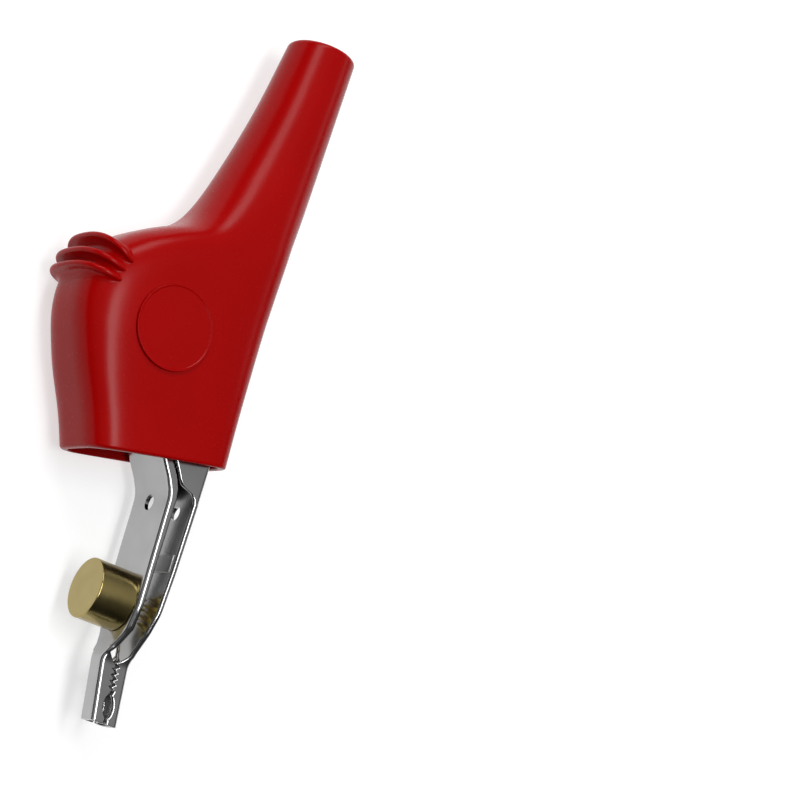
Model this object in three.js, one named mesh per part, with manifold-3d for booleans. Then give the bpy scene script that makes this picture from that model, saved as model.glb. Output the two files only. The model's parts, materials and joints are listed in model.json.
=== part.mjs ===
// Insulated bed-of-nails test clip: two sprung steel jaws in a soft boot.
// Millimetres. The clip lies on its flat side: +X to the nose, +Y to the spine, +Z along the hinge pin.
// Every shape is drawn from the hinge axis as origin and the whole clip is moved to its place at the end.
import * as THREE from 'three';
import { mergeVertices } from 'three/addons/utils/BufferGeometryUtils.js';
import loadManifold from 'manifold-3d';

// ---- jaws: pressed steel channels -------------------------------------------------------------
const SHEET = 0.7;
const JAW_HALF_WIDTH = 3.95;
const NOSE_HALF_WIDTH = 1.4;
const EAR_HALF_WIDTH = 2.95;
const TAIL_HALF_WIDTH = 2.2;
const NOSE_X = 35.1;
const NOSE_ROOT_X = 28.2;
const FLARE_X = 22;
const UPPER_FLANGE = 0.8;
const LOWER_FLANGE = 0.9;
const LOWER_WEB = { rear: 4, middle: 3.85 };
const UPPER_EAR_RADIUS = 2.4;
const LOWER_EAR_RADIUS = 2.9;
const LEVER_SLOPE = Math.atan2(3, 4);
const LEVER_FOOT = [4.2, -3.15];
const LEVER_X = -12.5;
const TOOLING_HOLE = { x: 9.9, radius: 0.9 };
const STAMPED_PAD = { x: 16, length: 1.9, halfWidth: 3.1, height: 0.25 };

// ---- teeth along the seam of the nose ---------------------------------------------------------
const SEAM_START = [28.3, 1.4];
const SEAM_END = [NOSE_X, 2.2];
const SEAM_HALF_GAP = 0.12;
const TEETH = { count: 5, pitch: 0.66, depth: 0.5, startX: 28.4 };
const WIRE_SLOT = { startX: 31.9, endX: 34.5, halfHeight: 0.75 };

// ---- hinge pin and spring ---------------------------------------------------------------------
const PIN_RADIUS = 1.3;
const PIN_HOLE_RADIUS = 1.6;
const PIN_HEAD = { radius: 2.2, inner: 4.2, outer: 4.6 };
const SPRING = {
  wire: 0.375, radius: 2.15, turns: 4, pitch: 0.92,
  lowerLeg: 9, lowerRise: 0.3, upperLeg: 9, upperRise: 1.3,
};

// ---- nail cup on the upper jaw ----------------------------------------------------------------
const CUP = { x: 21.5, radius: 3.5, face: -4.6, base: -0.05, floor: -2.2 };
const SPIGOT = { outer: 2.9, inner: 2.5, end: 1.2 };
const CUP_HOLE_RADIUS = 3.2;
const NAIL = { head: 0.52, shank: 0.33, headTop: -1.95, headBottom: -1.7, shoulder: 1.95, point: 2.6 };
const NAIL_RINGS = [{ count: 3, radius: 0.68, turn: 20 }, { count: 9, radius: 1.75, turn: 0 }];
const RETAINER = { radius: 2.25, top: -1.45, bottom: -0.85, hole: 0.47 };

// ---- wire terminal on the tail of the lower jaw -----------------------------------------------
const TAIL_X = -25;
const CRIMP = { start: -24.4, end: -18.5, height: 3.6 };
const SCREW = { x: -12, shank: 1.1, hole: 1.5, head: 2.1, headTop: 1.5, headBottom: 3, end: 4.65 };

// ---- boot -------------------------------------------------------------------------------------
const BOOT_WALL = 0.8;
const BOOT_NECK_X = -48.6;
const MOUTH = { x: 5.15, slope: -0.205 };
// x, spine y, thumb y, half thickness, squareness of the section
const BOOT_SECTIONS = [
  [BOOT_NECK_X, 8.05, -0.2, 4.1, 2.0],
  [-38.5, 7.65, -1.85, 4.8, 2.0],
  [-28.5, 7.2, -4.3, 5.5, 2.1],
  [-23.5, 6.7, -6.0, 5.85, 2.4],
  [-21, 6.5, -7.9, 5.95, 2.7],
  [-18.8, 6.35, -11.5, 6.05, 3.0],
  [-16.5, 6.2, -14.6, 6.1, 3.3],
  [-13, 6.0, -17.4, 6.1, 3.7],
  [-8, 5.95, -17.95, 6.1, 4.0],
  [-2, 6.0, -15.9, 5.95, 4.3],
  [4, 6.25, -12.8, 5.65, 4.5],
  [9, 6.5, -10.7, 5.5, 4.5],
];
const BOOT_RINGS = 30;
const BOOT_SIDES = 40;
const PAD = { x: -8.15, y: -7, radius: 4.9, top: 6.35 };
// Ribs: square-cornered oval plates. Each crest is x, y and the slope in degrees of the way it stands.
const RIB = { thickness: 0.9, halfWidth: 6.3, reach: 8, squareness: 3 };
const RIB_CRESTS = [[-15.3, -18.4, 62], [-13, -19.4, 76], [-11.2, -19.6, 83]];

const CIRCLE_SIDES = 32;
const REACH = 60;

const FINISHES = {
  vinyl: new THREE.MeshStandardMaterial({ color: 0x980000, roughness: 0.35, metalness: 0 }),
  nickel: new THREE.MeshStandardMaterial({ color: 0xa8a8a8, roughness: 0.25, metalness: 1 }),
  spring: new THREE.MeshStandardMaterial({ color: 0x8c8c8c, roughness: 0.35, metalness: 1 }),
  brass: new THREE.MeshStandardMaterial({ color: 0xac9c68, roughness: 0.3, metalness: 1 }),
  nail: new THREE.MeshStandardMaterial({ color: 0xb39a4a, roughness: 0.25, metalness: 1 }),
};

const { Manifold, Mesh: SolidMesh } = await loadManifold().then((library) => {
  library.setup();
  return library;
});

// ---- solids: three.js geometry in, manifold-3d boolean, three.js geometry out -------------------
function toSolid(geometry) {
  const bare = geometry.clone();
  bare.deleteAttribute('normal');
  bare.deleteAttribute('uv');
  const merged = mergeVertices(bare, 1e-4);
  return new Manifold(new SolidMesh({
    numProp: 3,
    vertProperties: new Float32Array(merged.attributes.position.array),
    triVerts: new Uint32Array(merged.index.array),
  }));
}

function toGeometry(solid) {
  const { numProp, vertProperties, triVerts } = solid.getMesh();
  const positions = [];
  for (const vertex of triVerts) {
    positions.push(...vertProperties.slice(vertex * numProp, vertex * numProp + 3));
  }
  const geometry = new THREE.BufferGeometry();
  geometry.setAttribute('position', new THREE.Float32BufferAttribute(positions, 3));
  geometry.computeVertexNormals();
  return geometry;
}

function shapeOf(points) {
  return new THREE.Shape(points.map(([x, y]) => new THREE.Vector2(x, y)));
}

// A side outline (x, y) pushed along Z between two heights.
function extrudeSide(points, bottom, top) {
  const geometry = new THREE.ExtrudeGeometry(shapeOf(points), { depth: top - bottom, bevelEnabled: false });
  return toSolid(geometry.translate(0, 0, bottom));
}

// A plan outline given as (x, half width), mirrored about Z = 0 and pushed along Y.
function extrudePlan(halfWidths) {
  const mirrored = [...halfWidths, ...halfWidths.map(([x, half]) => [x, -half]).reverse()];
  const geometry = new THREE.ExtrudeGeometry(shapeOf(mirrored), { depth: 2 * REACH, bevelEnabled: false });
  return toSolid(geometry.rotateX(Math.PI / 2).translate(0, REACH, 0));
}

// A cylinder whose axis is Y, between two heights.
function uprightCylinder(radius, x, from, to, z = 0) {
  const geometry = new THREE.CylinderGeometry(radius, radius, to - from, CIRCLE_SIDES);
  return toSolid(geometry.translate(x, (from + to) / 2, z));
}

function pinCylinder(radius, from, to) {
  const geometry = new THREE.CylinderGeometry(radius, radius, to - from, CIRCLE_SIDES);
  return toSolid(geometry.rotateX(Math.PI / 2).translate(0, 0, (from + to) / 2));
}

// A body turned about a Y axis at (x, z), from a closed (radius, y) profile.
function turned(profile, x = 0, z = 0, sides = CIRCLE_SIDES) {
  const points = profile.map(([radius, y]) => new THREE.Vector2(radius, y));
  return toSolid(new THREE.LatheGeometry(points, sides).translate(x, 0, z));
}

function arcPoints(radius, fromDegrees, toDegrees, steps) {
  return Array.from({ length: steps + 1 }, (_, i) => {
    const angle = THREE.MathUtils.degToRad(fromDegrees + ((toDegrees - fromDegrees) * i) / steps);
    return [radius * Math.cos(angle), radius * Math.sin(angle)];
  });
}

// ---- sheet-metal channel ------------------------------------------------------------------------
// outer: line of the outside of the web. edge: line of the flanges' free edges, walked back.
// side: +1 where the inside of the channel is at greater y, -1 where it is at smaller y.
function channel(outer, edge, plan, side) {
  const shell = extrudeSide([...outer, ...edge], -REACH, REACH).intersect(extrudePlan(plan));
  const inside = outer.map(([x, y], i) => {
    const before = outer[Math.max(i - 1, 0)];
    const after = outer[Math.min(i + 1, outer.length - 1)];
    const [runX, runY] = [before[0] - after[0], before[1] - after[1]];
    const shift = (side * SHEET) / Math.hypot(runX, runY);
    return [x - runY * shift, y + runX * shift];
  });
  inside[0][0] += 1;
  inside[inside.length - 1][0] -= 1;
  const far = side * REACH;
  const hollowSide = [...inside, [inside[inside.length - 1][0], far], [inside[0][0], far]];
  const hollowPlan = plan.map(([x, half], i) => {
    const endShift = i === 0 ? 1 : i === plan.length - 1 ? -1 : 0;
    return [x + endShift, half - SHEET];
  });
  return shell.subtract(extrudeSide(hollowSide, -REACH, REACH).intersect(extrudePlan(hollowPlan)));
}

function seamY(x) {
  const along = (x - SEAM_START[0]) / (SEAM_END[0] - SEAM_START[0]);
  return SEAM_START[1] + (SEAM_END[1] - SEAM_START[1]) * along;
}

// Free edge of the nose from its tip to its root, for the jaw on one side of the seam.
function noseEdge(side) {
  const offset = side * SEAM_HALF_GAP;
  const points = [[NOSE_X, seamY(NOSE_X) + offset], [WIRE_SLOT.endX, seamY(WIRE_SLOT.endX) + offset]];
  const slotLength = WIRE_SLOT.endX - WIRE_SLOT.startX;
  for (const along of [0.15, 0.38, 0.62, 0.85]) {
    const x = WIRE_SLOT.endX - slotLength * along;
    const swell = Math.sin(Math.PI * along) * WIRE_SLOT.halfHeight;
    points.push([x, seamY(x) + offset + side * swell]);
  }
  points.push([WIRE_SLOT.startX, seamY(WIRE_SLOT.startX) + offset]);
  for (let i = TEETH.count - 1; i >= 0; i -= 1) {
    const x = TEETH.startX + TEETH.pitch * i;
    points.push([x + TEETH.pitch / 2, seamY(x) + offset + TEETH.depth / 2]);
    points.push([x, seamY(x) + offset - TEETH.depth / 2]);
  }
  return points;
}

// Half width of either jaw from the nose back to where the flare ends.
const NOSE_PLAN = [
  [NOSE_X, NOSE_HALF_WIDTH],
  [NOSE_ROOT_X, NOSE_HALF_WIDTH - 0.1],
  [26.6, 2],
  [24.4, 3.2],
  [FLARE_X, JAW_HALF_WIDTH],
];

function leverPoint(distance, depth) {
  const [cos, sin] = [Math.cos(LEVER_SLOPE), Math.sin(LEVER_SLOPE)];
  return [LEVER_FOOT[0] - cos * distance - sin * depth, LEVER_FOOT[1] - sin * distance + cos * depth];
}

function makeUpperJaw() {
  const leverLength = (LEVER_FOOT[0] - LEVER_X) / Math.cos(LEVER_SLOPE);
  const outer = [
    [NOSE_X, 0.4], [NOSE_ROOT_X, -0.75], [25.2, 0.2], [9.4, -0.15], [8.4, -0.4], [7.4, -0.9],
    [5.8, -2], leverPoint(0, 0), leverPoint(leverLength, 0),
  ];
  const edge = [
    leverPoint(leverLength, UPPER_FLANGE), leverPoint(10.5, UPPER_FLANGE), leverPoint(7.5, 3.2),
    ...arcPoints(UPPER_EAR_RADIUS, 190, 0, 10), [UPPER_EAR_RADIUS, -2.6], leverPoint(1.6, UPPER_FLANGE),
    leverPoint(0, UPPER_FLANGE), [5.34, -0.75], [7.02, 0.35], [8.18, 0.86], [9.34, 1.05],
    [22.5, 1.05], [24.5, 1.2], [26.6, 0.65], [27.4, 0.1],
    ...noseEdge(-1).reverse(),
  ];
  const plan = [
    ...NOSE_PLAN, [3.8, JAW_HALF_WIDTH], [2.4, EAR_HALF_WIDTH], [LEVER_X + 2, EAR_HALF_WIDTH],
    [LEVER_X + 0.6, 2.7], [LEVER_X - 1, 1.6],
  ];
  return channel(outer, edge, plan, 1)
    .subtract(pinCylinder(PIN_HOLE_RADIUS, -REACH, REACH))
    .subtract(uprightCylinder(CUP_HOLE_RADIUS, CUP.x, -REACH, REACH))
    .subtract(uprightCylinder(TOOLING_HOLE.radius, TOOLING_HOLE.x, -REACH, REACH));
}

function makeLowerJaw() {
  const outer = [
    [NOSE_X, 3.85], [NOSE_ROOT_X, 3.1], [FLARE_X, 3.6], [17, LOWER_WEB.middle],
    [9, LOWER_WEB.rear], [TAIL_X, LOWER_WEB.rear],
  ];
  const webEdge = LOWER_WEB.rear - LOWER_FLANGE;
  const crimpEdge = LOWER_WEB.rear - CRIMP.height;
  const edge = [
    [TAIL_X, webEdge], [CRIMP.start, crimpEdge], [CRIMP.end, crimpEdge],
    [CRIMP.end + 0.8, webEdge], [-5.2, webEdge], [-4, 1.2],
    ...arcPoints(LOWER_EAR_RADIUS, 175, 270, 6), [1.6, -2.85], [2.3, -2.55], [3.54, -1.72], [5.17, -0.5],
    [6.87, 0.61], [7.55, 1.25], [7.75, 2.1], [8.4, 2.95], [9, webEdge], [17, 3.0],
    [FLARE_X, 2.75], [25.5, 2.2], [27.4, 1.75],
    ...noseEdge(1).reverse(),
  ];
  const plan = [
    ...NOSE_PLAN, [-5, JAW_HALF_WIDTH], [-8.5, TAIL_HALF_WIDTH], [TAIL_X, TAIL_HALF_WIDTH],
  ];
  const padTop = LOWER_WEB.middle - SHEET - STAMPED_PAD.height;
  const pad = toSolid(new THREE.BoxGeometry(
    STAMPED_PAD.length, STAMPED_PAD.height + 0.2, 2 * STAMPED_PAD.halfWidth,
  ).translate(STAMPED_PAD.x, padTop + (STAMPED_PAD.height + 0.2) / 2, 0));
  return channel(outer, edge, plan, -1)
    .add(pad)
    .subtract(pinCylinder(PIN_HOLE_RADIUS, -REACH, REACH))
    .subtract(uprightCylinder(SCREW.hole, SCREW.x, -REACH, REACH))
    .subtract(uprightCylinder(TOOLING_HOLE.radius, TOOLING_HOLE.x, 0, REACH));
}

// ---- hinge --------------------------------------------------------------------------------------
function makeHingePin() {
  return pinCylinder(PIN_RADIUS, -PIN_HEAD.outer, PIN_HEAD.outer)
    .add(pinCylinder(PIN_HEAD.radius, PIN_HEAD.inner, PIN_HEAD.outer))
    .add(pinCylinder(PIN_HEAD.radius, -PIN_HEAD.outer, -PIN_HEAD.inner));
}

function makeTorsionSpring() {
  const halfStack = (SPRING.turns * SPRING.pitch) / 2;
  const upperStart = Math.atan2(-Math.cos(LEVER_SLOPE), Math.sin(LEVER_SLOPE));
  const sweep = SPRING.turns * 2 * Math.PI - (Math.PI / 2 - upperStart);
  const points = [
    new THREE.Vector3(-SPRING.lowerLeg, SPRING.radius + SPRING.lowerRise, -halfStack),
    new THREE.Vector3(-SPRING.lowerLeg / 2, SPRING.radius + SPRING.lowerRise / 3, -halfStack),
  ];
  const steps = SPRING.turns * 12;
  for (let i = 0; i <= steps; i += 1) {
    const angle = Math.PI / 2 - (sweep * i) / steps;
    const height = -halfStack + (2 * halfStack * i) / steps;
    const [x, y] = [SPRING.radius * Math.cos(angle), SPRING.radius * Math.sin(angle)];
    points.push(new THREE.Vector3(x, y, height));
  }
  const [cos, sin] = [Math.cos(LEVER_SLOPE), Math.sin(LEVER_SLOPE)];
  for (const along of [0.5, 1]) {
    const run = SPRING.upperLeg * along;
    const lift = SPRING.radius + SPRING.upperRise * along;
    points.push(new THREE.Vector3(sin * lift - cos * run, -sin * run - cos * lift, halfStack));
  }
  const section = new THREE.Shape().absarc(0, 0, SPRING.wire, 0, 2 * Math.PI);
  const path = new THREE.CatmullRomCurve3(points, false, 'centripetal');
  return toSolid(new THREE.ExtrudeGeometry(section, {
    steps: 150, curveSegments: 4, bevelEnabled: false, extrudePath: path,
  }));
}

// ---- nails --------------------------------------------------------------------------------------
function makeNailCup() {
  return turned([
    [0, CUP.face], [CUP.radius, CUP.face], [CUP.radius, CUP.base], [SPIGOT.outer, CUP.base],
    [SPIGOT.outer, SPIGOT.end], [SPIGOT.inner, SPIGOT.end], [SPIGOT.inner, CUP.floor], [0, CUP.floor],
  ], CUP.x);
}

function nailPlaces() {
  return NAIL_RINGS.flatMap(({ count, radius, turn }) => Array.from({ length: count }, (_, i) => {
    const angle = THREE.MathUtils.degToRad(turn + (360 * i) / count);
    return [CUP.x + radius * Math.cos(angle), radius * Math.sin(angle)];
  }));
}

function makeNail(x, z) {
  return turned([
    [0, NAIL.headTop], [NAIL.head, NAIL.headTop], [NAIL.head, NAIL.headBottom],
    [NAIL.shank, NAIL.headBottom], [NAIL.shank, NAIL.shoulder], [0, NAIL.point],
  ], x, z, 10);
}

function makeNailRetainer() {
  const disc = uprightCylinder(RETAINER.radius, CUP.x, RETAINER.top, RETAINER.bottom);
  const holes = nailPlaces().map(([x, z]) => turned([
    [0, RETAINER.top - 1], [RETAINER.hole, RETAINER.top - 1],
    [RETAINER.hole, RETAINER.bottom + 1], [0, RETAINER.bottom + 1],
  ], x, z, 12));
  return disc.subtract(Manifold.union(holes));
}

// ---- wire terminal ------------------------------------------------------------------------------
function makeTerminalScrew() {
  const slot = new THREE.BoxGeometry(2 * SCREW.head + 1, 1, 0.7).translate(SCREW.x, SCREW.headTop, 0);
  return turned([
    [0, SCREW.headTop], [SCREW.head, SCREW.headTop], [SCREW.head, SCREW.headBottom],
    [SCREW.shank, SCREW.headBottom], [SCREW.shank, SCREW.end], [0, SCREW.end],
  ], SCREW.x).subtract(toSolid(slot));
}

// ---- boot ---------------------------------------------------------------------------------------
function bootSection(x) {
  const sections = BOOT_SECTIONS;
  let i = 1;
  while (i < sections.length - 1 && sections[i][0] < x) i += 1;
  const [p0, p1, p2, p3] = [i - 2, i - 1, i, i + 1].map((k) => (
    sections[Math.min(Math.max(k, 0), sections.length - 1)]
  ));
  const t = (x - p1[0]) / (p2[0] - p1[0]);
  const span = p2[0] - p1[0];
  return p1.slice(1).map((value, k) => {
    const before = (p2[k + 1] - p0[k + 1]) / Math.max(p2[0] - p0[0], 1e-6);
    const after = (p3[k + 1] - p1[k + 1]) / Math.max(p3[0] - p1[0], 1e-6);
    const t2 = t * t;
    const t3 = t2 * t;
    return value * (2 * t3 - 3 * t2 + 1) + p2[k + 1] * (3 * t2 - 2 * t3)
      + span * (before * (t3 - 2 * t2 + t) + after * (t3 - t2));
  });
}

// Closed skin through rings at the given x places; inset shrinks every ring.
function bootSkin(places, inset) {
  const positions = [];
  for (const x of places) {
    const [spine, thumb, half, square] = bootSection(Math.min(Math.max(x, BOOT_NECK_X), 9));
    const middle = (spine + thumb) / 2;
    for (let k = 0; k < BOOT_SIDES; k += 1) {
      const angle = (2 * Math.PI * k) / BOOT_SIDES;
      const [cos, sin] = [Math.cos(angle), Math.sin(angle)];
      const power = 2 / square;
      const y = middle + Math.sign(cos) * Math.abs(cos) ** power * ((spine - thumb) / 2 - inset);
      const z = Math.sign(sin) * Math.abs(sin) ** power * (half - inset);
      positions.push(x, y, z);
    }
  }
  const index = [];
  const last = places.length - 1;
  for (let ring = 0; ring < last; ring += 1) {
    for (let k = 0; k < BOOT_SIDES; k += 1) {
      const next = (k + 1) % BOOT_SIDES;
      const [a, b] = [ring * BOOT_SIDES + k, ring * BOOT_SIDES + next];
      index.push(a, b, a + BOOT_SIDES, b, b + BOOT_SIDES, a + BOOT_SIDES);
    }
  }
  for (let k = 1; k < BOOT_SIDES - 1; k += 1) {
    const end = last * BOOT_SIDES;
    index.push(0, k + 1, k);
    index.push(end, end + k, end + k + 1);
  }
  const geometry = new THREE.BufferGeometry();
  geometry.setAttribute('position', new THREE.Float32BufferAttribute(positions, 3));
  geometry.setIndex(index);
  return toSolid(geometry);
}

function placesBetween(from, to, count) {
  return Array.from({ length: count + 1 }, (_, i) => from + ((to - from) * i) / count);
}

// Thumb ribs: thin oval plates set across the thumb side, each standing proud of the skin.
function makeRib([x, y, slope]) {
  const sides = 2 * CIRCLE_SIDES;
  const power = 2 / RIB.squareness;
  const outline = Array.from({ length: sides }, (_, i) => {
    const [cos, sin] = [Math.cos((2 * Math.PI * i) / sides), Math.sin((2 * Math.PI * i) / sides)];
    return [
      Math.sign(cos) * Math.abs(cos) ** power * RIB.reach,
      Math.sign(sin) * Math.abs(sin) ** power * RIB.halfWidth,
    ];
  });
  const geometry = new THREE.ExtrudeGeometry(shapeOf(outline), {
    depth: RIB.thickness, bevelEnabled: false,
  });
  geometry.translate(RIB.reach, 0, -RIB.thickness / 2).rotateX(Math.PI / 2);
  geometry.rotateZ(THREE.MathUtils.degToRad(slope));
  return toSolid(geometry.translate(x, y, 0));
}

function mouthCutter() {
  const xAt = (y) => MOUTH.x + MOUTH.slope * y;
  return extrudeSide([
    [xAt(-REACH), -REACH], [REACH, -REACH], [REACH, REACH], [xAt(REACH), REACH],
  ], -REACH, REACH);
}

function makeBoot() {
  const outer = bootSkin(placesBetween(BOOT_NECK_X, 12, BOOT_RINGS), 0);
  const hollow = bootSkin(placesBetween(BOOT_NECK_X - 1, 13, BOOT_RINGS), BOOT_WALL);
  const pad = new THREE.CylinderGeometry(PAD.radius, PAD.radius, 2 * PAD.top, CIRCLE_SIDES);
  return outer
    .add(Manifold.union(RIB_CRESTS.map(makeRib)))
    .add(toSolid(pad.rotateX(Math.PI / 2).translate(PAD.x, PAD.y, 0)))
    .subtract(hollow)
    .subtract(mouthCutter());
}

// ---- assembly -----------------------------------------------------------------------------------
function addPart(group, name, solid, finish) {
  const mesh = new THREE.Mesh(toGeometry(solid), FINISHES[finish].clone());
  mesh.name = name;
  group.add(mesh);
}

const clip = new THREE.Group();
addPart(clip, 'boot', makeBoot(), 'vinyl');
addPart(clip, 'lower_jaw', makeLowerJaw(), 'nickel');
addPart(clip, 'upper_jaw', makeUpperJaw(), 'nickel');
addPart(clip, 'hinge_pin', makeHingePin(), 'nickel');
addPart(clip, 'torsion_spring', makeTorsionSpring(), 'spring');
addPart(clip, 'nail_cup', makeNailCup(), 'brass');
addPart(clip, 'nail_retainer', makeNailRetainer(), 'brass');
nailPlaces().forEach(([x, z], i) => {
  addPart(clip, `nail_${String(i + 1).padStart(2, '0')}`, makeNail(x, z), 'nail');
});
addPart(clip, 'terminal_screw', makeTerminalScrew(), 'nickel');

const bounds = new THREE.Box3().setFromObject(clip);
const middle = bounds.getCenter(new THREE.Vector3());
clip.position.set(-middle.x, -middle.y, -bounds.min.z);

const part = new THREE.Group();
part.add(clip);
export default part;
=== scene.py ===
import json
import math

import bmesh
import bpy
import numpy as np
from mathutils import Matrix, Vector


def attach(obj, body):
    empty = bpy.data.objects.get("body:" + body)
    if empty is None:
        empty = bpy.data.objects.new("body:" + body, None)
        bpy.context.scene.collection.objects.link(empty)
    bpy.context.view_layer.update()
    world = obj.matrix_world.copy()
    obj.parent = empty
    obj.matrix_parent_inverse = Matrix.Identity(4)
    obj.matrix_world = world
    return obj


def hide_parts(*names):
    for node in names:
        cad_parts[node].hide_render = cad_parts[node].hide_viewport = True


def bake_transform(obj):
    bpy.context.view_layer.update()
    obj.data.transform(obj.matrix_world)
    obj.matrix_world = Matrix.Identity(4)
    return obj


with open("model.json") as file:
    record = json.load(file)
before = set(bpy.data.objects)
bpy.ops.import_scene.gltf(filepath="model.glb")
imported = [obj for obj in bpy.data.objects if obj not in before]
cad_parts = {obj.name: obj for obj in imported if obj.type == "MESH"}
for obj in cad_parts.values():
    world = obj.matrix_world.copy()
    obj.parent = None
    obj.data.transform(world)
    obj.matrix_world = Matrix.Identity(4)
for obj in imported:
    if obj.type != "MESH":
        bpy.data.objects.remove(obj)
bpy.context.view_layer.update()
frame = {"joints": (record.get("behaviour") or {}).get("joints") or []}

# Shapes are drawn in millimetres from the hinge axis, as the jaws are laid out,
# and placed in the part's frame by the hinge's own position.
MM = 0.001
HINGE = np.array(frame["joints"][0]["pos_m"])
LOWER, UPPER = "boot_and_lower_jaw", "upper_jaw_and_nails"

# ---- sizes shared with the jaws' layout ----------------------------------------------------
SHEET = 0.5
BEND = 0.55
JAW_HALF = 3.95
NOSE_X, NOSE_ROOT_X = 35.1, 28.2
LEVER_X = -12.5
LEVER_SLOPE = math.atan2(3, 4)
CUP_X = 21.5
TOOLING_X, TOOLING_RADIUS = 9.9, 0.9
PIN_RADIUS, PIN_HOLE = 1.3, 1.35
SCREW_X, SCREW_HOLE = -12.0, 1.15
BOOT_WALL = 0.8
NECK_X = -48.4
MOUTH_X, MOUTH_SLOPE = 5.15, -0.205
# The mouth curls back toward the neck beyond this y, by a share of the distance squared
MOUTH_CURL_Y, MOUTH_CURL = -10.3, 0.06
# Radii of the wall's outer and inner corners at either end
MOUTH_OUTER, MOUTH_INNER, NECK_OUTER, NECK_INNER = 0.3, 0.2, 0.55, 0.2
# x, spine y, thumb y, half thickness, squareness of the section
BOOT_SECTIONS = np.array([
    [NECK_X, 8.05, -0.2, 4.1, 2.0],
    [-38.5, 7.65, -1.85, 4.8, 2.0],
    [-28.5, 7.2, -4.3, 5.5, 2.1],
    [-23.5, 6.7, -6.0, 5.85, 2.4],
    [-21, 6.5, -7.9, 5.95, 2.7],
    [-18.8, 6.35, -11.5, 6.05, 3.0],
    [-16.5, 6.2, -14.6, 6.1, 3.3],
    [-13, 6.0, -17.4, 6.1, 3.7],
    [-8, 5.95, -17.95, 6.1, 4.0],
    [-2, 6.0, -15.9, 5.95, 4.3],
    [4, 6.25, -12.8, 5.65, 4.5],
    [9, 6.5, -10.7, 5.5, 4.5],
])
# Each rib: crest x and y, and the slope in degrees of the way it stands
RIB_REACH = 8.0
RIB_CRESTS = [(-15.3, -18.4, 62), (-13.0, -19.4, 76), (-11.2, -19.6, 83)]
# Degrees round the heart of a rib at which it has run out, and the ribs' section and width
RIB_END = 60.5
RIB_EDGE, RIB_FLARE, RIB_WIDEST = 0.33, 0.75, 6.3
# The round pad: its place, then the heights of its rim, its sunk face and its buried foot
PAD_X, PAD_Y, PAD_RADIUS = -8.15, -7.0, 4.9
PAD_RIM, PAD_FACE, PAD_FOOT = 6.35, 6.28, 5.8
# The coined pad inside the lower jaw
COIN_X, COIN_HALF_LENGTH, COIN_HALF_WIDTH = 16, 0.95, 3.1
# Torsion spring
WIRE_RADIUS, COIL_RADIUS, COIL_TURNS, COIL_PITCH, SPRING_LEG = 0.375, 2.15, 4, 0.92, 9.0
LOWER_LEG_RISE, UPPER_LEG_RISE = 0.3, 1.3
# Nail rings: count, radius, turn in degrees
NAIL_RINGS = ((3, 0.68, 20), (9, 1.75, 0))
NAIL_HOLE = 0.4


# ---- mesh helpers --------------------------------------------------------------------------
def place(points):
    return np.asarray(points, float) * MM + HINGE


def add_mesh(name, points, faces, material, slot, sharp=38):
    """A closed piece from points in millimetres and faces, smooth except over sharp edges."""
    mesh = bpy.data.meshes.new(name)
    mesh.from_pydata(place(points).tolist(), [], faces)
    piece = bpy.data.objects.new(name, mesh)
    bpy.context.scene.collection.objects.link(piece)
    settle(piece, sharp)
    mesh.materials.append(material)
    return piece


def settle(piece, sharp=38):
    mesh = piece.data
    shape = bmesh.new()
    shape.from_mesh(mesh)
    bmesh.ops.remove_doubles(shape, verts=shape.verts, dist=2e-7)
    bmesh.ops.recalc_face_normals(shape, faces=shape.faces)
    shape.to_mesh(mesh)
    shape.free()
    mesh.shade_smooth()
    mesh.set_sharp_from_angle(angle=math.radians(sharp))


def loft(rings, loop=False):
    """Quads through rings of equal length; loop joins the last ring to the first."""
    rings = np.asarray(rings, float)
    count, around = rings.shape[:2]
    faces = []
    for i in range(count if loop else count - 1):
        a, b = i * around, ((i + 1) % count) * around
        for k in range(around):
            n = (k + 1) % around
            faces.append((a + k, a + n, b + n, b + k))
    if not loop:
        faces.append(tuple(range(around))[::-1])
        faces.append(tuple(range((count - 1) * around, count * around)))
    return rings.reshape(-1, 3), faces


def fillet(points, radius, steps=6, support=0.05):
    """The same open line with its corners rounded; a point beside each arc keeps the flats flat."""
    points = [np.array(p, float) for p in points]
    radii = radius if hasattr(radius, "__len__") else [radius] * len(points)
    line = [points[0]]
    for a, b, c, r in zip(points, points[1:], points[2:], radii[1:]):
        u, v = a - b, c - b
        la, lc = np.linalg.norm(u), np.linalg.norm(v)
        u, v = u / la, v / lc
        turn = math.pi - math.acos(float(np.clip(u @ v, -1, 1)))
        if turn < 0.01 or r <= 0:
            line.append(b)
            continue
        reach = min(r * math.tan(turn / 2), 0.45 * la, 0.45 * lc)
        r = reach / math.tan(turn / 2)
        centre = b + (u + v) / np.linalg.norm(u + v) * r / math.cos(turn / 2)
        start, end = b + u * reach - centre, b + v * reach - centre
        line.append(b + u * (reach + min(support, 0.03 * la)))
        for i in range(steps + 1):
            t = i / steps
            w = (math.sin((1 - t) * turn) * start + math.sin(t * turn) * end) / math.sin(turn)
            line.append(centre + w)
        line.append(b + v * (reach + min(support, 0.03 * lc)))
    line.append(points[-1])
    return np.array(line)


def turned(profile, centre, axis="Y", sides=64):
    """Rings turned about an axis through centre, from an open (radius, height) profile."""
    rings = []
    for radius, height in profile:
        ring = []
        for k in range(sides):
            a = 2 * math.pi * k / sides
            c, s = max(radius, 1e-4) * math.cos(a), max(radius, 1e-4) * math.sin(a)
            p = (c, height, s) if axis == "Y" else (c, s, height)
            ring.append(np.array(p) + centre)
        rings.append(ring)
    return loft(rings)


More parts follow.
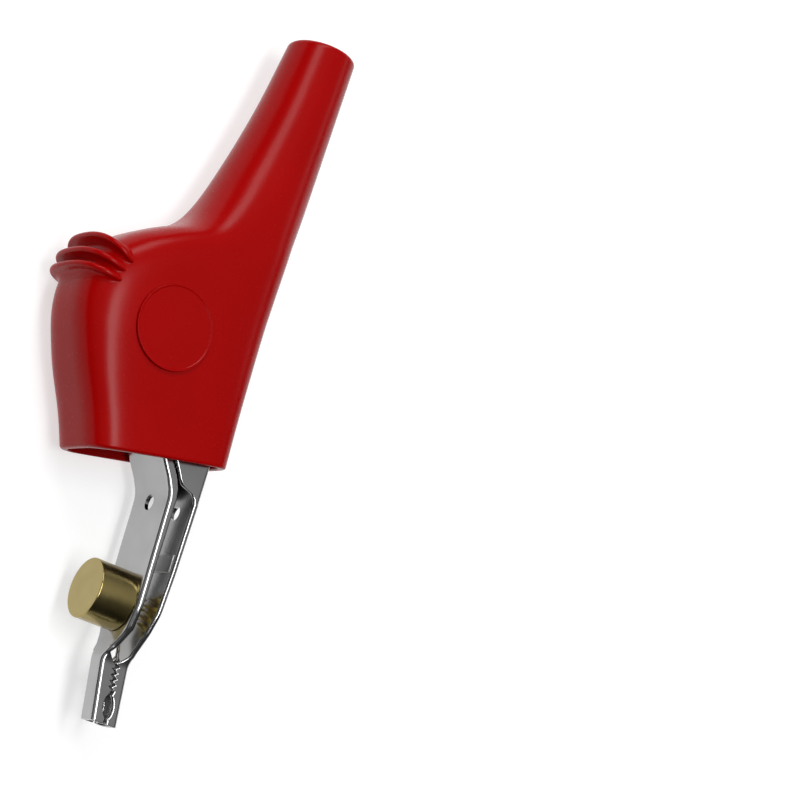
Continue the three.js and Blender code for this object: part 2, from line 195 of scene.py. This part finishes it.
def cylinder_cutter(cuts):
    """One mesh of cylinders (axis, centre, radius, from, to) to be cut out of a piece."""
    points, faces = [], []
    for axis, centre, radius, low, high in cuts:
        p, f = turned([(radius, low), (radius, high)], np.array(centre, float), axis, 56)
        faces += [tuple(i + len(points) for i in face) for face in f]
        points += p.tolist()
    mesh = bpy.data.meshes.new("cutter")
    mesh.from_pydata(place(points).tolist(), [], faces)
    cutter = bpy.data.objects.new("cutter", mesh)
    bpy.context.scene.collection.objects.link(cutter)
    settle(cutter)
    return cutter


def cut(piece, cuts):
    cutter = cylinder_cutter(cuts)
    boolean = piece.modifiers.new("cut", "BOOLEAN")
    boolean.operation, boolean.solver, boolean.object = "DIFFERENCE", "EXACT", cutter
    bpy.context.view_layer.update()
    evaluated = piece.evaluated_get(bpy.context.evaluated_depsgraph_get())
    mesh = bpy.data.meshes.new_from_object(evaluated)
    piece.modifiers.clear()
    piece.data = mesh
    bpy.data.objects.remove(cutter)
    settle(piece)


# ---- materials -----------------------------------------------------------------------------
class Nodes:
    """A material's node tree with short calls for the nodes that every finish here needs."""

    def __init__(self, name, **constants):
        self.material = bpy.data.materials.new(name)
        self.material.use_nodes = True
        self.tree = self.material.node_tree
        self.shader = self.tree.nodes["Principled BSDF"]
        for socket, value in constants.items():
            self.shader.inputs[socket.replace("_", " ")].default_value = value
        self.where = self.add("ShaderNodeTexCoord").outputs["Object"]

    def add(self, kind, links=(), **settings):
        node = self.tree.nodes.new(kind)
        for key, value in settings.items():
            if key in node.inputs:
                node.inputs[key].default_value = value
            else:
                setattr(node, key, value)
        for socket, source in dict(links).items():
            self.tree.links.new(source, node.inputs[socket])
        return node

    def about(self, centre, stretch=(1, 1, 1)):
        """Coordinates in millimetres from a centre (millimetres from the hinge), stretched."""
        shifted = self.add("ShaderNodeVectorMath", {0: self.where}, operation="SUBTRACT")
        shifted.inputs[1].default_value = place(centre)
        scaled = self.add("ShaderNodeVectorMath", {0: shifted.outputs[0]}, operation="MULTIPLY")
        scaled.inputs[1].default_value = [s / MM for s in stretch]
        return scaled.outputs[0]

    def noise(self, vector, scale, detail=3.0, rough=0.55):
        node = self.add("ShaderNodeTexNoise", {"Vector": vector}, Scale=scale, Detail=detail)
        node.inputs["Roughness"].default_value = rough
        return node.outputs["Fac"]

    def remap(self, value, low, high, source=(0.3, 0.7)):
        node = self.add("ShaderNodeMapRange", {"Value": value})
        for key, number in zip(("From Min", "From Max", "To Min", "To Max"), (*source, low, high)):
            node.inputs[key].default_value = number
        return node.outputs[0]

    def blend_colour(self, value, first, second):
        ramp = self.add("ShaderNodeValToRGB", {"Fac": value})
        ramp.color_ramp.elements[0].color = (*first, 1)
        ramp.color_ramp.elements[1].color = (*second, 1)
        ramp.color_ramp.elements[0].position, ramp.color_ramp.elements[1].position = 0.3, 0.7
        return ramp.outputs[0]

    def sum(self, first, second, share):
        node = self.add("ShaderNodeMath", {0: second, 2: first}, operation="MULTIPLY_ADD")
        node.inputs[1].default_value = share
        return node.outputs[0]

    def finish(self, colour, roughness, height, depth):
        """Joins colour, roughness and a height (depth in millimetres) to the shader."""
        self.tree.links.new(colour, self.shader.inputs["Base Color"])
        self.tree.links.new(roughness, self.shader.inputs["Roughness"])
        bump = self.add("ShaderNodeBump", {"Height": height})
        bump.inputs["Distance"].default_value = depth * MM
        bump.inputs["Strength"].default_value = 1.0
        self.tree.links.new(bump.outputs[0], self.shader.inputs["Normal"])
        return self.material


def vinyl_material():
    nodes = Nodes("red_vinyl", Metallic=0.0, Specular_IOR_Level=0.1, IOR=1.5)
    here = nodes.about((0, 0, 0))
    cloud = nodes.noise(here, 0.09, 2.0)
    skin = nodes.noise(here, 3.2, 3.0)
    waves = nodes.noise(here, 0.28, 1.0)
    colour = nodes.blend_colour(cloud, (0.30, 0.0002, 0.0002), (0.325, 0.0004, 0.0004))
    roughness = nodes.remap(skin, 0.22, 0.28)
    return nodes.finish(colour, roughness, nodes.sum(waves, skin, 0.02), 0.02)


def nickel_material(name, dark, light, rough):
    nodes = Nodes(name, Metallic=1.0)
    cloud = nodes.noise(nodes.about((0, 0, 0)), 0.25, 3.0)
    scratches = nodes.noise(nodes.about((0, 0, 0), (0.35, 5, 5)), 1.6, 4.0, 0.65)
    colour = nodes.blend_colour(cloud, (dark, dark, 1.01 * dark), (light, light, light))
    roughness = nodes.remap(nodes.sum(cloud, scratches, 0.8), *rough, (0.5, 1.3))
    return nodes.finish(colour, roughness, scratches, 0.004)


def spring_material():
    nodes = Nodes("spring_steel", Metallic=1.0)
    cloud = nodes.noise(nodes.about((0, 0, 0)), 1.2, 3.0)
    colour = nodes.blend_colour(cloud, (0.30, 0.30, 0.31), (0.42, 0.42, 0.42))
    drawn = nodes.noise(nodes.about((0, 0, 0)), 6.0, 3.0)
    return nodes.finish(colour, nodes.remap(drawn, 0.28, 0.4), drawn, 0.004)


def brass_material(name, dark, light, centre, rough):
    nodes = Nodes(name, Metallic=1.0)
    here = nodes.about(centre)
    cloud = nodes.noise(here, 0.45, 3.0)
    colour = nodes.blend_colour(cloud, dark, light)
    split = nodes.add("ShaderNodeSeparateXYZ", {0: here})
    flat = nodes.add("ShaderNodeCombineXYZ", {0: split.outputs[0], 2: split.outputs[2]})
    radius = nodes.add("ShaderNodeVectorMath", {0: flat.outputs[0]}, operation="LENGTH")
    turn_place = nodes.add(
        "ShaderNodeCombineXYZ", {0: radius.outputs["Value"], 1: split.outputs[1]}
    )
    turning = nodes.noise(turn_place.outputs[0], 9.0, 3.0, 0.6)
    roughness = nodes.remap(nodes.sum(cloud, turning, 0.7), *rough, (0.5, 1.2))
    return nodes.finish(colour, roughness, turning, 0.006)


VINYL = vinyl_material()
NICKEL = nickel_material("nickel_steel", 0.37, 0.41, (0.16, 0.22))
# Coined pad: a rougher satin finish than the jaws, and a lighter nickel colour that is painted
# sheen, standing in for the light the pad catches
COINED_PAINTED_SHEEN = nickel_material("coined_steel_painted_sheen", 0.5, 0.55, (0.34, 0.42))
SPRING = spring_material()
CUP_AXIS = (CUP_X, 0, 0)
BRASS = brass_material("brass", (0.33, 0.262, 0.1), (0.37, 0.295, 0.115), CUP_AXIS, (0.2, 0.28))
# Nail brass: the nails' own gold colour, made much brighter as painted light, standing in for the
# light they miss in the shade inside the channel
NAIL_PAINTED_LIGHT = brass_material(
    "nail_brass", (0.75, 0.55, 0.09), (0.88, 0.68, 0.16), CUP_AXIS, (0.34, 0.42)
)


# ---- boot ----------------------------------------------------------------------------------
def boot_values(x):
    """Spine y, thumb y, half thickness and squareness at each x, along smooth curves."""
    x = np.clip(np.asarray(x, float), NECK_X, 9)
    rows = BOOT_SECTIONS
    i = np.clip(np.searchsorted(rows[:, 0], x, side="left"), 1, len(rows) - 1)
    p0, p1, p2, p3 = (rows[np.clip(i + k, 0, len(rows) - 1)] for k in (-2, -1, 0, 1))
    span = (p2[..., 0] - p1[..., 0])[..., None]
    t = ((x - p1[..., 0]) / span[..., 0])[..., None]
    before = (p2 - p0)[..., 1:] / np.maximum((p2 - p0)[..., :1], 1e-6)
    after = (p3 - p1)[..., 1:] / np.maximum((p3 - p1)[..., :1], 1e-6)
    value = p1[..., 1:] * (2 * t**3 - 3 * t**2 + 1) + p2[..., 1:] * (3 * t**2 - 2 * t**3)
    value += span * (before * (t**3 - 2 * t**2 + t) + after * (t**3 - t**2))
    return np.moveaxis(value, -1, 0)


def boot_point(x, angle, inset):
    """Points of the skin, or of a skin set in by inset, at places x and angles from the spine."""
    spine, thumb, half, square = boot_values(x)
    b, c = (spine - thumb) / 2 - inset, half - inset
    reach = (np.abs(np.cos(angle) / b) ** square + np.abs(np.sin(angle) / c) ** square) ** (
        -1 / square
    )
    y = (spine + thumb) / 2 + reach * np.cos(angle)
    return np.stack([np.broadcast_to(x, y.shape), y, reach * np.sin(angle)], -1)


def even_angles(x, inset, around):
    """Angles that space the points of a section evenly along its outline."""
    fine = np.linspace(0, math.pi / 2, 400)
    line = boot_point(np.full(400, x), fine, inset)
    length = np.concatenate([[0], np.cumsum(np.linalg.norm(np.diff(line, axis=0), axis=1))])
    quarter = np.interp(np.linspace(0, length[-1], around // 4 + 1)[:-1], length, fine)
    back = math.pi - np.interp(
        np.linspace(length[-1], 0, around // 4 + 1)[:-1], length, fine
    )
    half = np.concatenate([quarter, back])
    return np.concatenate([half, half + math.pi])


def corner(start, radius, rising, steps=6):
    """(x, inset) pairs round a corner of the boot's wall, from the skin to the end face."""
    turns = np.linspace(0, math.pi / 2, steps + 1)
    return [(start + rising * radius * math.sin(a), radius * (1 - math.cos(a))) for a in turns]


def boot_rings(around=144):
    outer = list(np.arange(NECK_X + 0.75, MOUTH_X - 0.5, 0.55))
    inner = list(np.arange(NECK_X + 0.6, MOUTH_X - 0.5, 1.1))[::-1]
    wall = BOOT_WALL
    rings = [(x, 0.0) for x in outer]
    rings += corner(MOUTH_X - MOUTH_OUTER, MOUTH_OUTER, 1)
    rings += [(x, wall - i) for x, i in corner(MOUTH_X - MOUTH_INNER, MOUTH_INNER, 1)[::-1]]
    rings += [(x, wall) for x in inner]
    rings += [(x, wall - i) for x, i in corner(NECK_X + NECK_INNER, NECK_INNER, -1)]
    rings += corner(NECK_X + NECK_OUTER, NECK_OUTER, -1)[::-1]
    end_angle = even_angles(MOUTH_X, 0, around)
    end = np.full(around, MOUTH_X)
    for _ in range(8):
        y = boot_point(end, end_angle, 0)[:, 1]
        curl = MOUTH_CURL * np.maximum(MOUTH_CURL_Y - y, 0) ** 2
        end = MOUTH_X + MOUTH_SLOPE * y - curl
    lean = end - MOUTH_X
    made = []
    for x, inset in rings:
        share = float(np.clip((x + 12) / (MOUTH_X + 12 - 0.5), 0, 1))
        share = share * share * (3 - 2 * share)
        made.append(boot_point(x + lean * share, even_angles(x, inset, around), inset))
    return made


def skin_reach(origin, ray):
    """How far each ray from inside the boot runs before it leaves the skin."""
    low, high = np.zeros(ray.shape[:-1]), np.full(ray.shape[:-1], 16.0)
    for _ in range(40):
        middle = (low + high) / 2
        p = origin + ray * middle[..., None]
        spine, thumb, half, square = boot_values(p[..., 0])
        inside = np.abs((p[..., 1] - (spine + thumb) / 2) / ((spine - thumb) / 2)) ** square
        inside = inside + np.abs(p[..., 2] / half) ** square < 1
        low, high = np.where(inside, middle, low), np.where(inside, high, middle)
    return low


def rib_rings(crest_x, crest_y, slope, stations=120):
    """A fin across the thumb side: rounded crest, sides that flare softly into the skin."""
    s = math.radians(slope)
    out = np.array([-math.cos(s), -math.sin(s), 0])
    across = np.array([math.sin(s), -math.cos(s), 0])
    heart = np.array([crest_x, crest_y, 0]) - RIB_REACH * out
    up = np.array([0, 0, 1.0])

    def ray(turn):
        return np.cos(turn)[..., None] * out + np.sin(turn)[..., None] * up

    limit = math.radians(RIB_END)
    full = RIB_REACH - float(skin_reach(heart, ray(np.zeros(1)))[0])
    turns = limit * np.sin(np.linspace(-math.pi / 2, math.pi / 2, stations))
    rings = []
    for turn in turns:
        base = float(skin_reach(heart, ray(np.array([turn])))[0])
        top = base + full * (1 - (abs(turn) / limit) ** 2.5) ** 0.7
        top = min(top, RIB_WIDEST / max(abs(math.sin(turn)), 1e-6))
        height = max(top - base, 0.0)
        half = RIB_EDGE * min(1, height / 0.7) ** 0.6 + 0.02
        cap = min(half, 0.5 * height + 0.01)
        flare = min(RIB_FLARE, max(height - cap, 0.01))
        quarter = np.linspace(0, math.pi / 2, 8)
        foot = half + flare
        side = [(-foot - 0.15, -0.12, 0)]
        side += [
            (-foot + flare * math.sin(a), flare * (1 - math.cos(a)), 0) for a in quarter
        ]
        crest = [(-half * math.cos(a), -cap + cap * math.sin(a), 1) for a in quarter]
        profile = side + crest + [(-u, v, k) for u, v, k in (side + crest[:-1])[::-1]]
        u = np.array([p[0] for p in profile])
        v = np.array([p[1] for p in profile])
        on_crest = np.array([p[2] for p in profile]) > 0
        origin = heart + u[:, None] * across
        direction = np.broadcast_to(ray(np.array([turn]))[0], origin.shape)
        skin = skin_reach(origin, direction) + v
        reach = np.where(on_crest, top + v, np.minimum(skin, top - cap))
        rings.append(origin + direction * reach[:, None])
    return rings


def soft(piece):
    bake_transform(piece)


boot = add_mesh("boot_shell", *loft(boot_rings(), loop=True), VINYL, "red_vinyl", 60)
soft(boot)
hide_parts("boot")
for i, crest in enumerate(RIB_CRESTS):
    soft(add_mesh(f"thumb_rib_{i + 1}", *loft(rib_rings(*crest)), VINYL, "red_vinyl", 60))
for side, name in ((1, "ring_pad_top"), (-1, "ring_pad_rest")):
    edge = fillet(
        [(4.2, PAD_FACE), (PAD_RADIUS - 0.3, PAD_FACE), (PAD_RADIUS - 0.2, PAD_RIM),
         (PAD_RADIUS, PAD_RIM), (PAD_RADIUS, PAD_FOOT)],
        0.05, 4, 0.02,
    )
    edge = np.concatenate([[(r, PAD_FACE) for r in (0, 1, 2, 3)], edge])
    profile = [(r, side * h) for r, h in edge]
    shape = turned(profile, np.array([PAD_X, PAD_Y, 0]), "Z", 96)
    soft(add_mesh(name, *shape, VINYL, "red_vinyl"))


# ---- jaws ----------------------------------------------------------------------------------
def arc(radius, start, end, steps):
    turns = np.radians(np.linspace(start, end, steps + 1))
    return [(radius * math.cos(a), radius * math.sin(a)) for a in turns]


def seam_y(x):
    return 1.4 + 0.8 * (x - 28.3) / 6.8


def nose_edge(side):
    """Free edge of the nose from root to tip: teeth, then the long oval recess."""
    offset = side * 0.1
    line = []
    for i in range(5):
        x = 28.4 + 0.66 * i
        line += [(x, seam_y(x) + offset - 0.25), (x + 0.33, seam_y(x) + offset + 0.25)]
    line = fillet([(27.9, seam_y(27.9) + offset), *line, (31.8, seam_y(31.8) + offset)], 0.05, 2, 0)
    start, end = 31.9, 34.5
    for t in np.linspace(0, 1, 25):
        x = start + (end - start) * t
        swell = side * 0.45 * math.sin(math.pi * t) ** 0.6
        line = np.vstack([line, (x, seam_y(x) + offset + swell)])
    return [tuple(p) for p in line[1:]] + [(NOSE_X, seam_y(NOSE_X) + offset)]


NOSE_PLAN = [(NOSE_X, 1.4), (NOSE_ROOT_X, 1.3), (26.6, 2), (24.4, 3.2), (22, JAW_HALF)]


def channel_section(half, depth, thickness, inset):
    """(depth, z) points round a channel: outer bends, rounded free edges, inner bends."""
    edge = SHEET / 2 - inset
    half, depth = half - inset, depth - inset
    bend = min(BEND, (depth - SHEET / 2) * 0.85) - inset
    inner = max(BEND - SHEET, 0.05)
    web = thickness - inset
    quarter = np.linspace(0, math.pi / 2, 7)
    points = [(inset, 0), (inset, (half - bend) * 0.5), (inset, half - bend - 0.04)]
    points += [
        (inset + bend * (1 - math.cos(a)), half - bend * (1 - math.sin(a))) for a in quarter
    ]
    points.append((inset + bend + 0.02, half))
    points.append((depth - edge - 0.02, half))
    turn = np.linspace(0, math.pi, 9)
    points += [
        (depth - edge + edge * math.sin(a), half - edge + edge * math.cos(a)) for a in turn
    ]
    wall = half - 2 * edge
    low = web + inner
    points.append((max(depth - edge - 0.02, low + 0.02), wall))
    points.append((low + 0.02, wall))
    points += [
        (web + inner * (1 - math.sin(a)), wall - inner * (1 - math.cos(a)))
        for a in np.linspace(0, math.pi / 2, 5)
    ]
    points += [(web, wall - inner - 0.04), (web, wall * 0.5), (web, 0)]
    mirrored = [(d, -z) for d, z in points[1:-1]]
    return points + mirrored[::-1]


def channel(outer, edge, plan, side):
    """A pressed channel from the line of its web, its free edges and its half widths."""
    outer, edge, plan = (np.array(sorted(map(tuple, line))) for line in (outer, edge, plan))
    places = np.unique(np.round(np.concatenate([outer[:, 0], edge[:, 0], plan[:, 0]]), 3))
    start, end = outer[0, 0], outer[-1, 0]
    places = places[(places > start + 0.1) & (places < end - 0.1)]
    keep = [places[0]]
    for x in places[1:]:
        if x - keep[-1] > 0.012:
            keep.append(x)
    extra = [(a + b) / 2 for a, b in zip(keep, keep[1:]) if b - a > 1.5]
    bevel = 0.07
    stations = [(start, bevel), (start + bevel, 0)]
    stations += [(x, 0) for x in sorted(keep + extra)] + [(end - bevel, 0), (end, bevel)]
    fine = np.gradient(outer[:, 1], outer[:, 0] + np.arange(len(outer)) * 1e-9)
    rings = []
    for x, inset in stations:
        web = np.interp(x, outer[:, 0], outer[:, 1])
        slope = np.interp(x, outer[:, 0], fine)
        depth = max(side * (np.interp(x, edge[:, 0], edge[:, 1]) - web), SHEET / 2 + 0.25)
        half = np.interp(x, plan[:, 0], plan[:, 1])
        thickness = SHEET * math.sqrt(1 + slope * slope)
        rings.append([
            (x, web + side * d, z) for d, z in channel_section(half, depth, thickness, inset)
        ])
    return loft(rings)


def lever(distance, depth):
    c, s = math.cos(LEVER_SLOPE), math.sin(LEVER_SLOPE)
    return (4.2 - c * distance - s * depth, -3.15 - s * distance + c * depth)


upper_outer = fillet(
    [(NOSE_X, 0.4), (NOSE_ROOT_X, -0.75), (25.2, 0.2), (8.9, -0.15), (7.2, -1.05),
     lever(0, 0), lever((4.2 - LEVER_X) / math.cos(LEVER_SLOPE), 0)],
    [0, 1.6, 4, 5, 6, 8, 0], 8, 0.2,
)
upper_edge = [
    (LEVER_X, lever(20.87, 0.8)[1]), lever(10.5, 0.8), lever(7.5, 3.2), *arc(2.4, 188, 2, 30),
    (2.41, -2.6), lever(1.55, 0.8), lever(0, 0.8), (5.34, -0.75), (7.02, 0.35), (8.18, 0.86),
    (9.34, 1.05), (22.5, 1.05), (24.5, 1.2), (26.6, 0.65), (27.4, 0.1), *nose_edge(-1),
]
upper_plan = fillet(
    [*NOSE_PLAN, (3.8, JAW_HALF), (2.4, 2.95), (-10.5, 2.95), (-11.9, 2.7), (LEVER_X, 2.2)],
    [0, 3, 3, 3, 5, 1.2, 1.2, 1, 1, 0], 6, 0.2,
)
upper_jaw = add_mesh(
    "upper_jaw_sheet", *channel(upper_outer, upper_edge, upper_plan, 1), NICKEL, "nickel_steel"
)
cut(upper_jaw, [
    ("Z", (0, 0, 0), PIN_HOLE, -5, 5),
    ("Y", (TOOLING_X, 0, 0), TOOLING_RADIUS, -1, 1.5),
    ("Y", (CUP_X, 0, 0), 2.95, -1, 1.0),
])
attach(upper_jaw, UPPER)
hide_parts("upper_jaw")

lower_outer = fillet(
    [(NOSE_X, 3.85), (NOSE_ROOT_X, 3.1), (22, 3.6), (17, 3.85), (9, 4), (-25, 4)],
    [0, 3, 12, 12, 12, 0], 6, 0.2,
)
lower_edge = [
    (-25, 3.1), (-24.4, 0.4), (-18.5, 0.4), (-17.7, 3.1), (-5.2, 3.1), (-4, 1.2),
    *arc(2.9, 175, 270, 16), (1.6, -2.85), (2.3, -2.55), (3.54, -1.72), (5.17, -0.5),
    (6.87, 0.61), (7.4, 1.05), (7.62, 1.5), (7.78, 2.1), (8.0, 2.6), (8.4, 3.05), (9, 3.22),
    (17, 3.14), (22, 2.92), (25.5, 2.6), (27.2, 2.45), (28.0, 1.8), *nose_edge(1),
]
lower_plan = fillet(
    [*NOSE_PLAN, (-5, JAW_HALF), (-8.5, 2.2), (-25, 2.2)], [0, 3, 3, 3, 5, 2, 2, 0], 6, 0.2
)
lower_jaw = add_mesh(
    "lower_jaw_sheet", *channel(lower_outer, lower_edge, lower_plan, -1), NICKEL, "nickel_steel"
)
cut(lower_jaw, [
    ("Z", (0, 0, 0), PIN_HOLE, -5, 5),
    ("Y", (TOOLING_X, 0, 0), TOOLING_RADIUS, 2.8, 5),
    ("Y", (SCREW_X, 0, 0), SCREW_HOLE, 2.8, 5),
])
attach(lower_jaw, LOWER)
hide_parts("lower_jaw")


def coined_pad():
    """Low flat pad pressed up from the inside of the lower web, with sloping sides."""
    rings = []
    for grow, y in ((0.14, 3.5), (0.12, 3.4), (0.04, 3.16), (0, 3.12), (-0.05, 3.1)):
        x0, x1 = COIN_X - COIN_HALF_LENGTH - grow, COIN_X + COIN_HALF_LENGTH + grow
        half = COIN_HALF_WIDTH + grow
        rings.append([(x0, y, -half), (x1, y, -half), (x1, y, half), (x0, y, half)])
    return loft(rings)


# The coined pad takes the lighter nickel copy, whose extra brightness is painted sheen
pad = add_mesh("coined_pad", *coined_pad(), COINED_PAINTED_SHEEN, "nickel_steel")
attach(pad, LOWER)

# ---- hinge ---------------------------------------------------------------------------------
head = fillet(
    [(0, 4.62), (1.4, 4.55), (2.2, 4.2), (2.2, 4.0), (PIN_RADIUS, 4.0)], [0, 3, 0.3, 0.05, 0], 6
)
pin_profile = [tuple(p) for p in head] + [(PIN_RADIUS, 0)]
pin_profile += [(r, -h) for r, h in pin_profile[-2::-1]]
pin = add_mesh("hinge_rivet", *turned(pin_profile, np.zeros(3), "Z", 48), NICKEL, "nickel_steel")
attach(pin, LOWER)
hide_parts("hinge_pin")


def sweep(line, radius, around=14):
    """A round wire along a smooth line, narrowed at its ends and closed with flat caps."""
    line = np.array(line, float)
    tangent = np.gradient(line, axis=0)
    tangent /= np.linalg.norm(tangent, axis=1)[:, None]
    normal = np.cross(tangent[0], (0.1, 0.2, 1.0))
    rings = []
    sizes = np.full(len(line), radius)
    sizes[[0, -1]] = radius * 0.75
    for p, t, r in zip(line, tangent, sizes):
        normal = normal - (normal @ t) * t
        normal /= np.linalg.norm(normal)
        side = np.cross(t, normal)
        turns = 2 * math.pi * np.arange(around) / around
        rings.append(p + r * (np.cos(turns)[:, None] * normal + np.sin(turns)[:, None] * side))
    return loft(rings)


def spring_line():
    radius, leg = COIL_RADIUS, SPRING_LEG
    half_stack = COIL_TURNS * COIL_PITCH / 2
    slope = np.array([math.cos(LEVER_SLOPE), math.sin(LEVER_SLOPE)])
    last = math.atan2(-slope[0], slope[1])
    swept = COIL_TURNS * 2 * math.pi - (math.pi / 2 - last)
    line = [
        (-leg * (1 - t), radius + LOWER_LEG_RISE * (1 - t), -half_stack)
        for t in np.linspace(0, 0.95, 12)
    ]
    for t in np.linspace(0, 1, 220):
        a = math.pi / 2 - swept * t
        line.append((radius * math.cos(a), radius * math.sin(a), half_stack * (2 * t - 1)))
    for t in np.linspace(0.06, 1, 12):
        lift = radius + UPPER_LEG_RISE * t
        x, y = -slope * leg * t + np.array([slope[1], -slope[0]]) * lift
        line.append((x, y, half_stack))
    return line


spring = add_mesh("coil_spring", *sweep(spring_line(), WIRE_RADIUS), SPRING, "spring_steel")
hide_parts("torsion_spring")
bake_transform(spring)

# ---- nail cup, retainer and nails ----------------------------------------------------------
cup_profile = fillet(
    [(0, -4.6), (3.5, -4.6), (3.5, 0.1), (2.9, 0.1), (2.9, 1.2), (2.5, 1.2), (2.5, -2.2),
     (0, -2.2)],
    [0, 0.14, 0.08, 0.05, 0.08, 0.08, 0.2, 0], 5,
)
cup = add_mesh(
    "nail_cup_turned", *turned(cup_profile, np.array(CUP_AXIS), "Y", 128), BRASS, "brass"
)
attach(cup, UPPER)
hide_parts("nail_cup")

nail_places = []
for count, radius, turn in NAIL_RINGS:
    for i in range(count):
        a = math.radians(turn + 360 * i / count)
        nail_places.append((CUP_X + radius * math.cos(a), radius * math.sin(a)))

disc_profile = fillet(
    [(0, -1.45), (2.25, -1.45), (2.25, -0.85), (0, -0.85)], [0, 0.1, 0.1, 0], 4
)
retainer = add_mesh(
    "retainer_disc", *turned(disc_profile, np.array(CUP_AXIS), "Y", 64), BRASS, "brass"
)
cut(retainer, [("Y", (x, 0, z), NAIL_HOLE, -2, 0) for x, z in nail_places])
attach(retainer, UPPER)
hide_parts("nail_retainer")

nail_profile = fillet(
    [(0, -1.95), (0.52, -1.95), (0.52, -1.7), (0.33, -1.66), (0.33, 1.85), (0, 2.6)],
    [0, 0.06, 0.06, 0.04, 0.3, 0], 4,
)
for i, (x, z) in enumerate(nail_places):
    # Each nail takes the brightened nail brass, whose extra brightness is painted light
    nail = add_mesh(
        f"nail_pin_{i + 1:02d}", *turned(nail_profile, np.array([x, 0, z]), "Y", 24),
        NAIL_PAINTED_LIGHT, "nail_brass",
    )
    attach(nail, UPPER)
    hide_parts(f"nail_{i + 1:02d}")

# ---- terminal screw ------------------------------------------------------------------------
screw_profile = [(0, 1.5), (1.7, 1.55), (2.1, 1.8), (2.1, 2.9), (2.0, 3.0), (1.1, 3.0)]
thread = [(1.1 - 0.12 * (k % 2), 3.1 + 0.19 * k) for k in range(8)]
screw_profile += thread + [(0.85, 4.65), (0, 4.65)]
screw = add_mesh(
    "binding_screw", *turned(screw_profile, np.array([SCREW_X, 0, 0]), "Y", 48),
    NICKEL, "nickel_steel",
)
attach(screw, LOWER)
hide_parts("terminal_screw")


# ---- stage, lights and camera --------------------------------------------------------------
def stage_floor():
    mesh = bpy.data.meshes.new("floor")
    size = 3.0
    mesh.from_pydata([(-size, -size, 0), (size, -size, 0), (size, size, 0), (-size, size, 0)], [],
                     [(0, 1, 2, 3)])
    floor = bpy.data.objects.new("floor", mesh)
    bpy.context.scene.collection.objects.link(floor)
    nodes = Nodes("floor", Specular_IOR_Level=0.1)
    cloud = nodes.noise(nodes.about((0, 0, 0)), 0.01, 2.0)
    colour = nodes.blend_colour(cloud, (0.43, 0.43, 0.43), (0.45, 0.45, 0.45))
    nodes.shader.inputs["Emission Color"].default_value = (1, 1, 1, 1)
    nodes.shader.inputs["Emission Strength"].default_value = 0.62
    mesh.materials.append(nodes.finish(colour, nodes.remap(cloud, 0.8, 0.9), cloud, 0.001))


def softbox(name, direction, distance, width, height, power, along=(1, 0, 0)):
    """A soft panel in a direction from the clip, facing it, with its width along a given way."""
    back = Vector(direction).normalized()
    wide = Vector(along)
    wide = (wide - wide.dot(back) * back).normalized()
    tall = back.cross(wide)
    light = bpy.data.lights.new(name, "AREA")
    light.shape, light.size, light.size_y, light.energy = "RECTANGLE", width, height, power
    panel = bpy.data.objects.new(name, light)
    panel.visible_camera = False
    middle = Vector((0, 0, 0.006))
    panel.matrix_world = Matrix.Translation(middle + back * distance) @ Matrix(
        (wide, tall, back)
    ).transposed().to_4x4()
    bpy.context.scene.collection.objects.link(panel)


def studio_world():
    """Dim surroundings, darkest low down and toward the nose, lighter overhead."""
    world = bpy.data.worlds.new("studio")
    bpy.context.scene.world = world
    world.use_nodes = True
    tree = world.node_tree
    where = tree.nodes.new("ShaderNodeTexCoord").outputs["Generated"]
    ramps = []
    for way, stops in (
        ((0.9, 0.35, 0.0), ((0.0, 1.0), (0.5, 0.15))),
        ((0, 0, 1), ((0.25, 0.06), (0.75, 0.42))),
    ):
        along = tree.nodes.new("ShaderNodeVectorMath")
        along.operation = "DOT_PRODUCT"
        along.inputs[1].default_value = way
        tree.links.new(where, along.inputs[0])
        ramp = tree.nodes.new("ShaderNodeMapRange")
        ramp.interpolation_type = "SMOOTHSTEP"
        for socket, value in zip(
            ("From Min", "To Min", "From Max", "To Max"), (*stops[0], *stops[1])
        ):
            ramp.inputs[socket].default_value = value
        tree.links.new(along.outputs["Value"], ramp.inputs["Value"])
        ramps.append(ramp.outputs[0])
    product = tree.nodes.new("ShaderNodeMath")
    product.operation = "MULTIPLY"
    for i, ramp in enumerate(ramps):
        tree.links.new(ramp, product.inputs[i])
    background = tree.nodes["Background"]
    tree.links.new(product.outputs[0], background.inputs["Strength"])
    background.inputs["Color"].default_value = (1, 1, 1, 1)


stage_floor()
studio_world()
softbox("key", (0.0, -0.04, 1.0), 0.7, 0.5, 0.16, 3.1)
softbox("side", (-0.74, -0.34, 0.58), 0.7, 0.5, 0.2, 2.2, (-0.25, 0.38, -0.1))
softbox("rim", (-0.57, 0.76, 0.3), 0.8, 0.6, 0.15, 0.34)

camera = bpy.data.cameras.new("camera")
camera.lens, camera.sensor_width = 114, 36
camera_object = bpy.data.objects.new("camera", camera)
bpy.context.scene.collection.objects.link(camera_object)
axes = Matrix((
    (-0.2722, 0.7611, 0.5887),
    (-0.9297, -0.3659, 0.0432),
    (0.2483, -0.5355, 0.8072),
)).transposed()
camera_object.matrix_world = Matrix.Translation(place((62.33, -135.62, 247.4))) @ axes.to_4x4()
camera.clip_start, camera.clip_end = 0.01, 20
bpy.context.scene.camera = camera_object
bpy.context.scene.view_settings.view_transform = "Standard"
